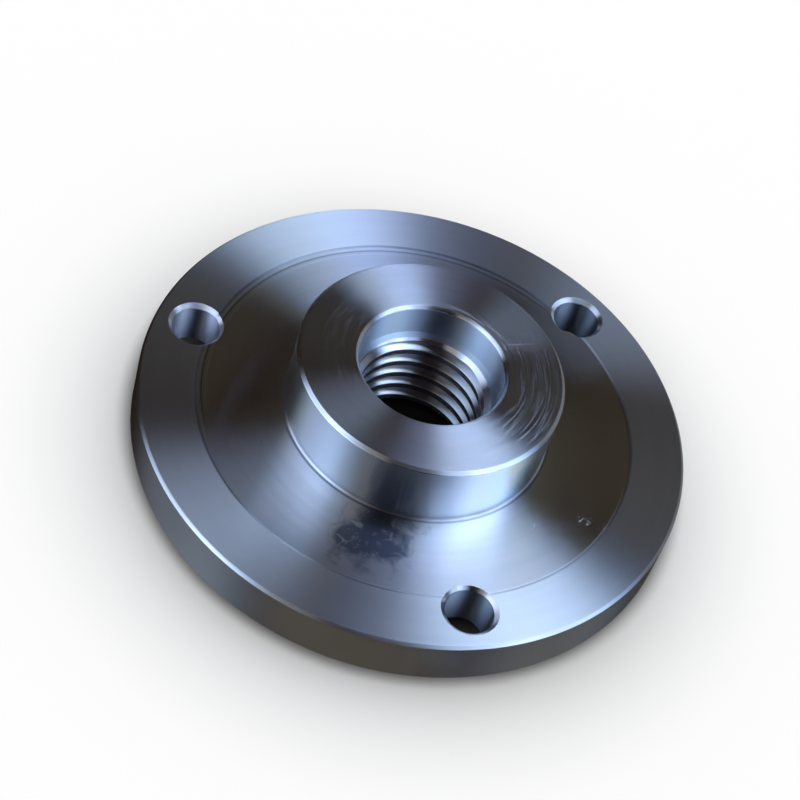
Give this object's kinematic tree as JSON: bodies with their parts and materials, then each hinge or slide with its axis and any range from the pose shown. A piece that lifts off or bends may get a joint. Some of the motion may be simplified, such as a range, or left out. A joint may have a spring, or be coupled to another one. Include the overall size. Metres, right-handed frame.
{
  "type": "chuck back plate",
  "caption": "Turned steel back plate that carries a lathe chuck: a round flange with bolt holes, a locating spigot and a threaded spindle hub.",
  "frame": {"origin": "centre of the spigot's end face, on the spindle axis", "axes": "+Z along the spindle axis from the chuck towards the hub; -Y points at one bolt hole"},
  "size_m": [0.099, 0.099, 0.0254],
  "materials": {
    "turned_steel": "satin, with fine concentric turning marks"
  },
  "bodies": {
    "root": {"back_plate": "turned_steel"}
  },
  "joints": []
}
